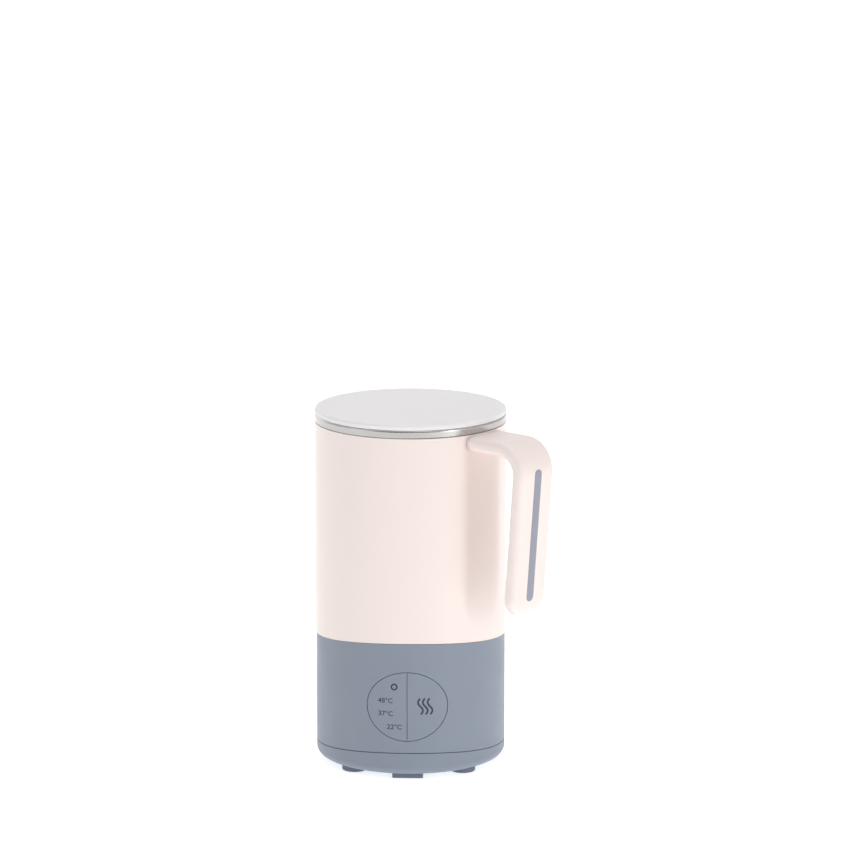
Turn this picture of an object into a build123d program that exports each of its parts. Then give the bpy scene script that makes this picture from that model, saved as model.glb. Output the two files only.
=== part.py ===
from build123d import *

import math
import os

# Baby food maker: a heating base, a jug with a side handle, and a lid that
# carries a magnetic stirrer on a long rod.  Millimetres, +Z up, front is -Y,
# z = 0 is the plane of the feet and the jug's axis is the Z axis.
# The rest pose is the assembled one: jug on the base, lid on the jug.

# ---- driving dimensions -------------------------------------------------
BASE_R = 54.5            # outer radius of the base
WALL = 2.0               # moulded wall
BASE_FLOOR_Z = 3.0       # underside of the bottom cover, above the feet
BOTTOM_ROUND = 4.5       # rounding of the bottom cover's outer edge
DECK_Z = 75.5            # flat shoulder round the raised ring
WAVE_RISE = 4.7          # rim and seam rise this much from the sides to the front
SEAM_Z = 11.5            # seam between shell and cover, at the sides
SEAM_GAP = 0.2           # half the groove in the seam
RING_R = 42.3            # outer radius of the raised ring
RING_BORE_R = 40.5
RING_TOP_Z = 78.5
DISH_Z = 70.2            # top of the heated dish, where the jug stands
DISH_T = 1.2
DISH_CENTRE_R = 17.4     # polished disc over the stirring magnets
GASKET_TOP_Z = 74.4

PANEL_Z = 43.5           # centre of the oval control panel
PANEL_A = 22.8           # half width, as a chord
PANEL_B = 20.0           # half height
PANEL_GAP = 0.35
SWITCH_X = 10.0          # the switches stand this far either side of the divider

JUG_R = 55.0             # outer radius of the jug's shell
JUG_GAP = 0.3            # between the jug's edge and the base's rim
SHELL_TOP_Z = 199.3
RIM_Z = 204.0            # top of the steel rim
RIM_H = 4.5
VESSEL_R = 52.2          # outside of the steel vessel
VESSEL_T = 0.8
VESSEL_FOOT_R = 37.5     # narrow steel foot that stands on the dish
VESSEL_NECK_Z = 86.0
VESSEL_SHOULDER_Z = 99.0
JUG_RING_Z = 83.2        # underside of the ring that closes the jug
JUG_RING_T = 2.0

HANDLE_AZ = -38.0        # direction of the handle and of one locating tab
TAB_AZ = (HANDLE_AZ, HANDLE_AZ + 240.0)
NOTCH_AZ = (0.0,) + TAB_AZ
TAB_R_IN = 47.5
TAB_R_OUT = 50.9
TAB_W = 15.6
TAB_END_Z = 65.85
HANDLE_W = 30.0
HANDLE_T = 8.0
HANDLE_ARM_Z = 194.5     # middle of the arm
HANDLE_MID_R = 90.0      # middle of the grip, measured at HANDLE_MID_Z
HANDLE_MID_Z = 180.0
HANDLE_LEAN = 4.6        # degrees, towards the jug going down
HANDLE_END_Z = 97.5
INLAY_W = 6.0
INLAY_Z = (106.0, 183.0)

LID_R = 54.9
LID_FLANGE_T = 3.0
LID_PLUG_R = 49.1
LID_PLUG_Z = 193.7       # lower end of the lid's plug
SEAL_R = 51.0
SEAL_H = 2.2
SOCKET_R = 4.15
SOCKET_Z = 181.0         # lower end of the socket, well below the lid's plug
ROD_R = 1.65
RUN_FIT = 0.05           # radial clearance of a running fit

STIR_Z = 72.5            # lower edge of the stirrer
STIR_R = 21.5
STIR_H = 9.3
STIR_SHOULDER_R = 10.5
HUB_R = 4.0
HUB_H = 5.0

CONTACT_X = 5.5          # the two sprung contacts stand this far either side
CONTACT_Y = 47.9
CONTACT_FLOOR_Z = 78.0   # top of the insert that the contacts stand in
CONTACT_TIP_Z = 81.9
CONTACT_GAP = 0.1        # between a contact's tip and its pad
BARREL_R = 1.4
BARREL_BORE_R = 0.85
BARREL_L = 9.2
BARREL_FLOOR_T = 1.3
PIN_R = 0.8
PIN_TIP_R = 1.15
PIN_TIP_H = 1.0
PIN_DEPTH = 2.4          # the stem reaches this far below the insert's top
SPRING_IN_R, SPRING_OUT_R = 0.45, 0.7
PAD_R, PAD_T = 2.2, 0.4
BLOCK_TOP_Z = 82.3
BLOCK_LOW_Z = 70.6
BLOCK_R = 52.2           # the housing's back follows the jug's skirt
BLOCK_HALF_W = 12.4
BLOCK_FRONT_Y = 45.2
POCKET_HALF_W = 10.6
POCKET_BACK_Y = 51.0
POCKET_Z = BLOCK_LOW_Z + 3.4
POCKET_SIDE_Y = 47.6     # the sides are cut low in front of this, above POCKET_SILL_Z
POCKET_SILL_Z = 79.4
INSERT_GAP = 0.1
INSERT_BACK_T = 0.6

BOARD_FRONT_Y = -45.0    # the switches and lamps stand on this face
BOARD_T = 1.6
BOARD_HALF_W = 19.0
BOARD_Z = (22.0, 62.0)
BOARD_HOLE_R = 1.6
BOARD_HOLE_X = 16.5
BOARD_HOLE_INSET = 3.0
SWITCH_DEPTH = 2.7
PLUNGER_R = 1.7
PLUNGER_L = 0.8
STUD_R = 2.4
STUD_Y = (-51.4, -49.6)  # from inside the button to just short of its switch

MOTOR_R = 12.0
MOTOR_Z = (27.0, 57.0)
SHAFT_R = 1.5
FOOT_R = 7.2
FOOT_PCR = 44.0          # radius on which the outer feet and housing screws lie
FRONT_PAD_Y = (-49.0, -42.0)
FOOT_AZ = (45.0, 135.0, 225.0, 315.0)
GLAND_Z = 26.0
GLAND_BORE_R = 3.4
CLAMP_AZ = (30.0, 150.0, 270.0)
CLAMP_SCREW_PCR = 38.6


# ---- helpers --------------------------------------------------------------
def disc(radius, low, high):
    """Round plate about the Z axis between two heights."""
    return Pos(0, 0, (low + high) / 2) * Cylinder(radius, high - low)


def tube(outer, inner, low, high):
    """Round wall about the Z axis."""
    return disc(outer, low, high) - disc(inner, low - 1, high + 1)


def block(x, y, z):
    """Box between the limits (low, high) on each axis."""
    centre = [(a + b) / 2 for a, b in (x, y, z)]
    return Pos(*centre) * Box(x[1] - x[0], y[1] - y[0], z[1] - z[0])


def at(azimuth, radius=0.0, height=0.0):
    """Place something in a direction seen from above, counter-clockwise from +X."""
    return Rot(0, 0, azimuth) * Pos(radius, 0, height)


def turned(points, rounded=None):
    """Solid of revolution of an (r, z) outline; rounded maps a corner to its radius."""
    face = make_face(Polyline(*points, close=True))
    for (r, z), radius in (rounded or {}).items():
        corner = face.vertices().sort_by_distance((r, z))[0]
        face = fillet(corner, radius)
    return revolve(Plane.XZ * face, Axis.Z)


def above_wave(level, height=60.0):
    """Everything above the surface that dips at the sides and rises front and rear."""
    half = BASE_R + 6
    end = WAVE_RISE * (half / BASE_R) ** 2
    curve = Bezier((-half, level + end), (0, level - end), (half, level + end))
    lid = Polyline((half, level + end), (half, level + height), (-half, level + height), (-half, level + end))
    return extrude(Plane.YZ * make_face(curve + lid), 70, both=True)


def join(parts):
    """Fuse a list of touching solids into one."""
    parts = list(parts)
    whole = parts[0]
    for part in parts[1:]:
        whole = whole + part
    return whole


def group(parts):
    """Keep a list of separate solids together as one node."""
    return Compound([solid for part in parts for solid in part.solids()])


def soften(part, edges, radius):
    """Round some edges."""
    return fillet(edges, radius) if edges else part


# ---- base: housing --------------------------------------------------------
def panel_prism(margin):
    """Oval of the control panel, carried from the axis out through the front wall."""
    front = Plane((0, 0, PANEL_Z), x_dir=(1, 0, 0), z_dir=(0, -1, 0))
    return extrude(front * Ellipse(PANEL_A + margin, PANEL_B + margin), 70)


def deck_notch(azimuth):
    """Slot in the deck that takes one locating tab of the jug."""
    length, width = 5.7, 20.0
    return at(azimuth, 46.7 + length / 2, DECK_Z) * Box(length, width, 12)


def base_shell():
    inner = BASE_R - WALL
    crest = DECK_Z + WAVE_RISE + 2
    wall = tube(BASE_R, inner, SEAM_Z - 1, crest) - above_wave(DECK_Z)
    wall = soften(wall, [e for e in wall.edges() if e.center().Z > DECK_Z - 0.5 and e.length > 200], 0.7)
    deck = tube(inner + 0.5, RING_R - 0.5, DECK_Z - WALL, DECK_Z)
    ring = turned(
        [(RING_BORE_R, 66.0), (RING_R, 66.0), (RING_R, RING_TOP_Z), (RING_BORE_R, RING_TOP_Z)],
        {(RING_R, RING_TOP_Z): 0.8, (RING_BORE_R, RING_TOP_Z): 0.6},
    )
    ledge_z = DISH_Z - DISH_T
    ledge = tube(RING_BORE_R + 0.5, 37.0, ledge_z - 3.6, ledge_z)
    for azimuth in CLAMP_AZ:
        ledge -= at(azimuth, CLAMP_SCREW_PCR, 65.5) * Cylinder(1.25, 4)
    posts = []
    for azimuth in FOOT_AZ:
        post = at(azimuth, FOOT_PCR, 19.2) * Cylinder(4.0, 22)
        rib = at(azimuth, (FOOT_PCR + inner + 0.5) / 2, 25.2) * Box(inner + 0.5 - FOOT_PCR, 3, 10)
        hole = at(azimuth, FOOT_PCR, 14) * Cylinder(1.55, 14)
        posts.append(post + rib - hole)
    shell = join([wall, deck, ring, ledge]) & above_wave(SEAM_Z + SEAM_GAP, 90.0)
    shell = join([shell] + posts)
    for azimuth in NOTCH_AZ:
        shell -= deck_notch(azimuth)
    shell -= block((-12.7, 12.7), (44.9, inner), (DECK_Z - 5, DECK_Z + 1))
    shell -= panel_prism(PANEL_GAP)
    shell -= Pos(0, BASE_R, GLAND_Z) * Rot(90, 0, 0) * Cylinder(5.0, 12)
    return shell


def bottom_cover():
    tongue_r = BASE_R - WALL - 0.2
    inner = tongue_r - 1.0
    high = SEAM_Z + WAVE_RISE + 6
    cup = turned(
        [(0, BASE_FLOOR_Z), (BASE_R, BASE_FLOOR_Z), (BASE_R, high), (inner, high), (inner, 5.0), (0, 5.0)],
        {(BASE_R, BASE_FLOOR_Z): BOTTOM_ROUND, (inner, 5.0): 2.0},
    )
    outside = cup - above_wave(SEAM_Z - SEAM_GAP)
    tongue = (cup & disc(tongue_r, 0, high)) - above_wave(SEAM_Z + 2)
    cover = outside + tongue
    for azimuth in FOOT_AZ:
        cover += at(azimuth, FOOT_PCR, 6.4) * Cylinder(5.0, 3.2)
    for x in (-18, 18):
        for y in (19, 39):
            cover += Pos(x, y, 7.45) * Cylinder(2.5, 5.1)
    for azimuth in FOOT_AZ:
        cover -= at(azimuth, FOOT_PCR, 4.2) * Cylinder(3.2, 2.6)
        cover -= at(azimuth, FOOT_PCR, 6) * Cylinder(1.7, 8)
    return cover


def rubber_feet():
    """One foot over each housing screw, and one on the axis under the motor."""
    foot = turned([(0, 0), (FOOT_R, 0), (FOOT_R, BASE_FLOOR_Z), (0, BASE_FLOOR_Z)], {(FOOT_R, 0): 0.8})
    return group([foot] + [at(azimuth, FOOT_PCR) * foot for azimuth in FOOT_AZ])


def front_pad():
    pad = block((-8.8, 8.8), FRONT_PAD_Y, (0, BASE_FLOOR_Z))
    return fillet(pad.edges().filter_by(Axis.Z), 1.2)


def housing_screws():
    screw = Pos(0, 0, 4.2) * Cylinder(2.8, 1.8) + Pos(0, 0, 12.5) * Cylinder(1.5, 15)
    socket = Pos(0, 0, 3.6) * extrude(RegularPolygon(1.2, 6), 1.0)
    return group(at(azimuth, FOOT_PCR) * (screw - socket) for azimuth in FOOT_AZ)


def cord_gland():
    """Bush where the mains lead enters at the lower rear."""
    profile = [
        (GLAND_BORE_R, 48.0), (7.0, 48.0), (7.0, 51.5), (4.9, 51.5),
        (4.9, 54.7), (7.0, 54.7), (7.0, 56.4), (GLAND_BORE_R, 56.4),
    ]
    bush = turned(profile, {(7.0, 56.4): 0.8})
    return Pos(0, 0, GLAND_Z) * Rot(-90, 0, 0) * bush


# ---- base: heated dish and its sensors ------------------------------------
def heater_dish():
    plate = tube(RING_BORE_R - 0.2, DISH_CENTRE_R + 0.3, DISH_Z - DISH_T, DISH_Z)
    step = tube(DISH_CENTRE_R + 2.0, DISH_CENTRE_R - 1.2, DISH_Z - 2 * DISH_T, DISH_Z - DISH_T)
    return plate + step


def dish_centre():
    low = DISH_Z - DISH_T
    return turned([(0, low), (DISH_CENTRE_R, low), (DISH_CENTRE_R, DISH_Z - 0.1), (0, DISH_Z - 0.1)],
                  {(DISH_CENTRE_R, DISH_Z - 0.1): 0.3})


def dish_gasket():
    """Dark seal between the steel dish and the raised ring."""
    outer = RING_BORE_R - 0.05
    return turned(
        [(37.9, DISH_Z), (outer, DISH_Z), (outer, GASKET_TOP_Z), (39.7, GASKET_TOP_Z), (38.3, DISH_Z + 1.4)],
        {(39.7, GASKET_TOP_Z): 0.3},
    )


def heating_element():
    """Sheathed ring heater clamped under the dish, with two terminals."""
    ring = tube(34.0, 24.0, 64.6, DISH_Z - DISH_T)
    terminals = [at(azimuth, 29.0, 62.3) * Cylinder(1.6, 5) for azimuth in (255.0, 285.0)]
    return join([ring] + terminals)


def heater_clamp():
    """Three-armed plate that presses the ring heater against the dish."""
    plate = tube(33.0, 21.5, 63.4, 64.6)
    for azimuth in (255.0, 285.0):
        plate -= at(azimuth, 29.0, 64) * Cylinder(2.4, 4)
    for azimuth in CLAMP_AZ:
        plate += at(azimuth, 35.8, 64.0) * Box(8.8, 7.0, 1.2)
        plate -= at(azimuth, CLAMP_SCREW_PCR, 64.0) * Cylinder(1.25, 3)
    return plate


def clamp_screws():
    screw = Pos(0, 0, 62.5) * Cylinder(2.4, 1.8) + Pos(0, 0, 65.2) * Cylinder(1.2, 3.6)
    return group(at(azimuth, CLAMP_SCREW_PCR) * screw for azimuth in CLAMP_AZ)


def dish_sensor():
    body = at(190.0, 35.5, 66.4) * Cylinder(1.3, 5.2)
    return body


def thermal_fuse():
    fuse = Rot(0, 0, 90) * Pos(28.0, 0, 61.3) * Rot(90, 0, 0) * Cylinder(2.0, 11)
    return fuse


# ---- base: sprung contacts ------------------------------------------------
def contact_housing():
    """Moulded frame at the rear of the deck, open towards the front and upwards."""
    above = BLOCK_TOP_Z + 1
    in_front = BLOCK_FRONT_Y - 1
    body = block((-BLOCK_HALF_W, BLOCK_HALF_W), (BLOCK_FRONT_Y, BASE_R), (BLOCK_LOW_Z, BLOCK_TOP_Z))
    body -= block((-POCKET_HALF_W, POCKET_HALF_W), (in_front, POCKET_BACK_Y), (POCKET_Z, above))
    body -= block((-BLOCK_HALF_W - 1, BLOCK_HALF_W + 1), (in_front, POCKET_SIDE_Y), (POCKET_SILL_Z, above))
    body &= disc(BLOCK_R, 0, 100)
    for x in (-CONTACT_X, CONTACT_X):
        body -= Pos(x, CONTACT_Y, BLOCK_LOW_Z) * Cylinder(BARREL_R + 0.2, 12)
    return body


def contact_block():
    """Dark insulating insert that holds the two sprung contacts."""
    half = POCKET_HALF_W - INSERT_GAP
    back = POCKET_BACK_Y - INSERT_GAP
    floor = block((-half, half), (BLOCK_FRONT_Y + INSERT_GAP, back), (POCKET_Z, CONTACT_FLOOR_Z))
    wall = block((-half, half), (back - INSERT_BACK_T, back), (POCKET_Z, BLOCK_TOP_Z - 0.3))
    body = floor + wall
    for x in (-CONTACT_X, CONTACT_X):
        body -= Pos(x, CONTACT_Y, POCKET_Z) * Cylinder(BARREL_R + 0.05, 12)
    return body


def contact_barrels():
    low = CONTACT_FLOOR_Z - BARREL_L
    flange = Pos(0, 0, CONTACT_FLOOR_Z + 0.5) * Cylinder(2.3, 1.0)
    barrel = Pos(0, 0, low + BARREL_L / 2) * Cylinder(BARREL_R, BARREL_L)
    bore = Pos(0, 0, low + BARREL_FLOOR_T + BARREL_L / 2) * Cylinder(BARREL_BORE_R, BARREL_L)
    socket = flange + barrel - bore
    return group(Pos(x, CONTACT_Y, 0) * socket for x in (-CONTACT_X, CONTACT_X))


def contact_plunger(x):
    low, high = CONTACT_FLOOR_Z - PIN_DEPTH, CONTACT_TIP_Z - PIN_TIP_H / 2
    stem = Pos(x, CONTACT_Y, (low + high) / 2) * Cylinder(PIN_R, high - low)
    tip = Pos(x, CONTACT_Y, high) * Cylinder(PIN_TIP_R, PIN_TIP_H)
    tip = fillet(tip.edges().group_by(Axis.Z)[-1], 0.45)
    return stem + tip


def contact_spring(x):
    """Closed sleeve in place of the fine coil inside each contact."""
    low = CONTACT_FLOOR_Z - BARREL_L + BARREL_FLOOR_T + 0.2
    high = CONTACT_FLOOR_Z - PIN_DEPTH - 0.1
    sleeve = Cylinder(SPRING_OUT_R, high - low) - Cylinder(SPRING_IN_R, high)
    return Pos(x, CONTACT_Y, (low + high) / 2) * sleeve


# ---- base: stirring drive --------------------------------------------------
def motor_can():
    low, high = MOTOR_Z
    can = disc(MOTOR_R, low + 1.6, high) - disc(MOTOR_R - 1.0, low, high - 1.0)
    can -= disc(3.6, high - 2, high + 1)
    for azimuth in (90.0, 270.0):
        can -= at(azimuth, 8.0, high) * Cylinder(1.3, 6)
    return can


def motor_end_cap():
    low = MOTOR_Z[0]
    cap = disc(MOTOR_R, low, low + 1.6) + disc(MOTOR_R - 1.05, low + 1.6, low + 4)
    for y in (-6.0, 6.0):
        cap += Pos(0, y, low - 1.8) * Box(3.0, 0.6, 3.8)
    return cap - disc(3.6, low - 1, low + 5)


def motor_core():
    """Wound armature on the shaft, seen only with the can off."""
    core = disc(9.2, 35.0, 50.0)
    for step in range(5):
        core -= at(step * 72.0, 8.6, 42.5) * Box(3.4, 1.6, 16)
    core -= disc(SHAFT_R, 30, 55)
    return core


def motor_shaft():
    return disc(SHAFT_R, MOTOR_Z[0] + 0.4, 65.0)


def motor_bearings():
    low, high = MOTOR_Z
    bearing = tube(3.6, SHAFT_R + RUN_FIT, 0, 2.6)
    return group([Pos(0, 0, low + 1.0) * bearing, Pos(0, 0, high - 2.6) * bearing])


def motor_bracket():
    """Plate on three legs that carries the motor over the bottom cover."""
    low = MOTOR_Z[1]
    plate = disc(23.0, low, low + 1.6) - disc(5.0, low - 1, low + 3)
    for azimuth in (90.0, 270.0):
        plate -= at(azimuth, 8.0, low) * Cylinder(1.3, 6)
    for azimuth in (30.0, 150.0, 270.0):
        plate += at(azimuth, 20.0, (5.0 + low) / 2) * Cylinder(2.8, low - 5.0)
    return plate


def motor_screws():
    low = MOTOR_Z[1] + 1.6
    screw = Pos(0, 0, low + 0.7) * Cylinder(2.2, 1.4) + Pos(0, 0, low - 1.3) * Cylinder(1.25, 2.6)
    return group(at(azimuth, 8.0) * screw for azimuth in (90.0, 270.0))


def magnet_carrier():
    carrier = disc(17.0, 61.6, 63.6) + disc(3.4, 60.4, 65.4)
    carrier += tube(17.0, 15.4, 63.6, 65.6)
    return carrier - disc(SHAFT_R, 55, 65.0)


def drive_magnets():
    return group(at(azimuth, 9.8, 65.1) * Cylinder(4.5, 3.0) for azimuth in (0.0, 90.0, 180.0, 270.0))


# ---- base: control panel ---------------------------------------------------
def button(side):
    """Half of the oval panel with its inner flange and the stud over its switch."""
    inner = BASE_R - WALL
    half = block(sorted((side * 0.15, side * 30)), (-60, 0), (0, 80))
    face = tube(BASE_R, inner, 10, 78) & panel_prism(0)
    flange = tube(inner + 0.1, inner - 1.4, 10, 78) & panel_prism(0)
    lip = tube(inner - 0.3, inner - 1.4, 10, 78) & panel_prism(1.3)
    plate = (face + flange + lip) & half
    stud_y = sum(STUD_Y) / 2
    stud = Pos(side * SWITCH_X, stud_y, PANEL_Z) * Rot(90, 0, 0) * Cylinder(STUD_R, STUD_Y[1] - STUD_Y[0])
    return plate + stud


def control_board():
    back_y = BOARD_FRONT_Y + BOARD_T
    board = block((-BOARD_HALF_W, BOARD_HALF_W), (BOARD_FRONT_Y, back_y), BOARD_Z)
    for x in (-BOARD_HOLE_X, BOARD_HOLE_X):
        for z in (BOARD_Z[0] + BOARD_HOLE_INSET, BOARD_Z[1] - BOARD_HOLE_INSET):
            board -= Pos(x, back_y, z) * Rot(90, 0, 0) * Cylinder(BOARD_HOLE_R, 4)
    return board


def tact_switches():
    face_y = BOARD_FRONT_Y - SWITCH_DEPTH
    body = block((-3, 3), (face_y, BOARD_FRONT_Y), (-3, 3))
    body += Pos(0, face_y - PLUNGER_L / 2, 0) * Rot(90, 0, 0) * Cylinder(PLUNGER_R, PLUNGER_L)
    return group(Pos(x, 0, PANEL_Z) * body for x in (-SWITCH_X, SWITCH_X))


def indicator_leds():
    """Lamps behind the ring symbol and the three temperatures."""
    led = Rot(90, 0, 0) * (Cylinder(1.2, 1.2) + Pos(0, 0, -0.2) * Box(3.0, 1.8, 0.8))
    spots = ((-6.2, 55.1), (-16.6, 48.6), (-16.6, 39.0), (-6.2, 31.7))
    return group(Pos(x, BOARD_FRONT_Y - 0.6, z) * led for x, z in spots)


def control_chips():
    back_y = BOARD_FRONT_Y + BOARD_T
    return group([
        block((-5, 5), (back_y, back_y + 1.4), (28, 38)),
        block((8, 14), (back_y, back_y + 1.5), (48, 53)),
    ])


def power_board():
    board = block((-22, 22), (15.5, 42.5), (10.0, 11.6))
    for azimuth in (30.0, 150.0):
        board -= at(azimuth, 20.0, 11) * Cylinder(3.4, 4)
    return board


def power_components():
    floor = 11.6
    transformer = block((-19, -3), (24, 39), (floor, floor + 13))
    relay = block((2, 18), (30, 40), (floor, floor + 14))
    capacitor = Pos(4, 22.5, floor + 7) * Cylinder(4.5, 14)
    terminal = block((10, 19), (19, 26), (floor, floor + 8))
    return group([transformer, relay, capacitor, terminal])


# ---- jug --------------------------------------------------------------------
SHELL_IN_R = JUG_R - WALL
BOSS_AZ = (22.0, 142.0, 262.0)
SCREW_TANGENT = 8.0      # the handle's two screws stand this far either side of its middle


def grip_radius(height, side):
    """Radius of the grip's outer (+1), middle (0) or inner (-1) face at a height."""
    lean = math.radians(HANDLE_LEAN)
    return HANDLE_MID_R + side * HANDLE_T / 2 / math.cos(lean) - (HANDLE_MID_Z - height) * math.tan(lean)


def handle_frame(azimuth=HANDLE_AZ):
    """Upright plane through the jug's axis: local x is the radius, local y the height."""
    angle = math.radians(azimuth)
    outward = (math.cos(angle), math.sin(angle), 0)
    sideways = (math.sin(angle), -math.cos(angle), 0)
    return Plane((0, 0, 0), x_dir=outward, z_dir=sideways)


def jug_shell():
    wall = tube(JUG_R, SHELL_IN_R, DECK_Z - 2, SHELL_TOP_Z) & above_wave(DECK_Z + JUG_GAP, 150.0)
    wall = soften(wall, [e for e in wall.edges() if e.center().Z < DECK_Z + 8 and e.length > 300], 0.5)
    boss_low = JUG_RING_Z + JUG_RING_T
    for azimuth in BOSS_AZ:
        wall += at(azimuth, SHELL_IN_R - 2.8, boss_low + 3.5) * Cylinder(3.0, 7.0)
        wall -= at(azimuth, SHELL_IN_R - 2.8, boss_low + 3.0) * Cylinder(1.25, 6.0)
    for tangent in (-SCREW_TANGENT, SCREW_TANGENT):
        hole = Rot(0, 90, 0) * Cylinder(1.35, 10)
        sink = Rot(0, 90, 0) * Cylinder(2.8, 6)
        place = Rot(0, 0, HANDLE_AZ) * Pos(0, tangent, HANDLE_ARM_Z)
        wall -= place * Pos(54, 0, 0) * hole
        wall -= place * Pos(53.3 - 3, 0, 0) * sink
    return wall


def inner_vessel():
    """Deep-drawn steel vessel with a rolled rim and a narrow foot."""
    inside = VESSEL_R - VESSEL_T
    foot_in = VESSEL_FOOT_R - VESSEL_T
    floor = DISH_Z + VESSEL_T
    rim_low = RIM_Z - RIM_H
    outline = [
        (0, DISH_Z), (VESSEL_FOOT_R, DISH_Z), (VESSEL_FOOT_R, VESSEL_NECK_Z), (VESSEL_R, VESSEL_SHOULDER_Z),
        (VESSEL_R, rim_low), (JUG_R, rim_low), (JUG_R, RIM_Z), (inside, RIM_Z),
        (inside, VESSEL_SHOULDER_Z + 0.4), (foot_in, VESSEL_NECK_Z + 0.4), (foot_in, floor), (0, floor),
    ]
    rounded = {
        (VESSEL_FOOT_R, DISH_Z): 2.6, (foot_in, floor): 1.8,
        (VESSEL_FOOT_R, VESSEL_NECK_Z): 3.0, (foot_in, VESSEL_NECK_Z + 0.4): 3.8,
        (VESSEL_R, VESSEL_SHOULDER_Z): 8.8, (inside, VESSEL_SHOULDER_Z + 0.4): 8.0,
        (JUG_R, RIM_Z): 1.1, (inside, RIM_Z): 0.8, (JUG_R, rim_low): 0.5,
    }
    return turned(outline, rounded)


def locating_tab(azimuth):
    """Tongue with a rounded end that drops through a notch in the base's deck."""
    half, end = TAB_W / 2, TAB_W / 2 - 2.6
    outline = Polyline(
        (-half, JUG_RING_Z + 1), (half, JUG_RING_Z + 1), (half - 0.5, TAB_END_Z + 5), (end, TAB_END_Z),
        (-end, TAB_END_Z), (-half + 0.5, TAB_END_Z + 5), close=True,
    )
    face = make_face(outline)
    for x in (-end, end):
        corner = face.vertices().sort_by_distance((x, TAB_END_Z))[0]
        face = fillet(corner, 3.6)
    side = Plane((0, 0, 0), x_dir=(0, 1, 0), z_dir=(1, 0, 0))
    return Rot(0, 0, azimuth) * (extrude(side * face, 60) & tube(TAB_R_OUT, TAB_R_IN, 60, 90))


def jug_base_ring():
    """Ring that closes the jug between the foot and the shell, with tabs and a contact tongue."""
    ring = tube(SHELL_IN_R - 0.1, VESSEL_FOOT_R + 0.2, JUG_RING_Z, JUG_RING_Z + JUG_RING_T)
    tongue = block((-9, 9), (45.4, 50.2), (CONTACT_TIP_Z + CONTACT_GAP + PAD_T, JUG_RING_Z + 0.5))
    ring = join([ring, tongue] + [locating_tab(azimuth) for azimuth in TAB_AZ])
    for azimuth in BOSS_AZ:
        ring -= at(azimuth, SHELL_IN_R - 2.8, JUG_RING_Z) * Cylinder(1.3, 8)
    return ring


def jug_ring_screws():
    screw = Pos(0, 0, -0.75) * Cylinder(2.4, 1.5) + Pos(0, 0, 3.0) * Cylinder(1.2, 6.0)
    return group(at(azimuth, SHELL_IN_R - 2.8, JUG_RING_Z) * screw for azimuth in BOSS_AZ)


def jug_contact_pads():
    pad = Pos(0, 0, CONTACT_TIP_Z + CONTACT_GAP + PAD_T / 2) * Cylinder(PAD_R, PAD_T)
    return group(Pos(x, CONTACT_Y, 0) * pad for x in (-CONTACT_X, CONTACT_X))


def vessel_sensor():
    return at(70.0, 40.4, JUG_RING_Z + JUG_RING_T + 0.75) * Box(2.6, 5.0, 1.5)


def handle():
    frame = handle_frame()
    lean = math.radians(HANDLE_LEAN)
    corner = (grip_radius(HANDLE_ARM_Z, 0), HANDLE_ARM_Z)
    past_end_z = HANDLE_END_Z - 6
    end = (grip_radius(past_end_z, 0), past_end_z)
    path = frame * FilletPolyline((50, HANDLE_ARM_Z), corner, end, radius=14.0)
    section = Plane(path @ 0, x_dir=frame.z_dir, z_dir=path % 0) * RectangleRounded(HANDLE_W, HANDLE_T, 3.4)
    bar = sweep(section, path)
    front = Plane((0, 0, 0), x_dir=-frame.z_dir, z_dir=frame.x_dir)
    height = 150.0
    outline = Pos(0, HANDLE_END_Z + height / 2) * RectangleRounded(HANDLE_W, height, 11.5)
    lower = extrude(front * outline, 120)
    bar = bar & lower
    bar -= disc(JUG_R, 90, 210)
    bar -= inlay_strip(0.05)
    for tangent in (-SCREW_TANGENT, SCREW_TANGENT):
        hole = Rot(0, 90, 0) * Cylinder(1.3, 20)
        bar -= Rot(0, 0, HANDLE_AZ) * Pos(57, tangent, HANDLE_ARM_Z) * hole
    return bar


def inlay_strip(margin=0.0):
    """Grey strip let into the outward face of the grip."""
    low, high = INLAY_Z
    middle = (low + high) / 2
    angle, lean = math.radians(HANDLE_AZ), math.radians(HANDLE_LEAN)
    out = Vector(math.cos(angle), math.sin(angle), 0)
    radius = grip_radius(middle, 1)
    face = Plane(
        (out.X * radius, out.Y * radius, middle),
        x_dir=(-math.sin(angle), math.cos(angle), 0),
        z_dir=(out.X * math.cos(lean), out.Y * math.cos(lean), -math.sin(lean)),
    )
    length = (high - low) / math.cos(lean) + 2 * margin
    strip = face * Rot(0, 0, 90) * SlotOverall(length, INLAY_W + 2 * margin)
    return extrude(strip, -1.2 - margin)


def handle_screws():
    screw = Rot(0, 90, 0) * (Pos(0, 0, -0.5) * Cylinder(2.6, 1.0) + Pos(0, 0, 5.9) * Cylinder(1.25, 12))
    parts = []
    for tangent in (-SCREW_TANGENT, SCREW_TANGENT):
        parts.append(Rot(0, 0, HANDLE_AZ) * Pos(53.2, tangent, HANDLE_ARM_Z) * screw)
    return group(parts)


# ---- lid --------------------------------------------------------------------
def lid_cover():
    top, low = RIM_Z + LID_FLANGE_T, RIM_Z
    plug_in = LID_PLUG_R - 1.8
    outline = [
        (0, top), (LID_R, top), (LID_R, low), (LID_PLUG_R, low), (LID_PLUG_R, LID_PLUG_Z),
        (plug_in, LID_PLUG_Z), (plug_in, top - 1.8), (0, top - 1.8),
    ]
    rounded = {(LID_R, top): 1.2, (LID_R, low): 0.7, (plug_in, top - 1.8): 1.0, (LID_PLUG_R, low): 0.8}
    return turned(outline, rounded)


def lid_seal():
    plug_in = LID_PLUG_R - 1.8
    low = LID_PLUG_Z - SEAL_H
    outline = [(plug_in, low), (SEAL_R, low), (SEAL_R, LID_PLUG_Z), (plug_in, LID_PLUG_Z)]
    return turned(outline, {(SEAL_R, low): 0.9, (SEAL_R, LID_PLUG_Z): 0.9})


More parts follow.
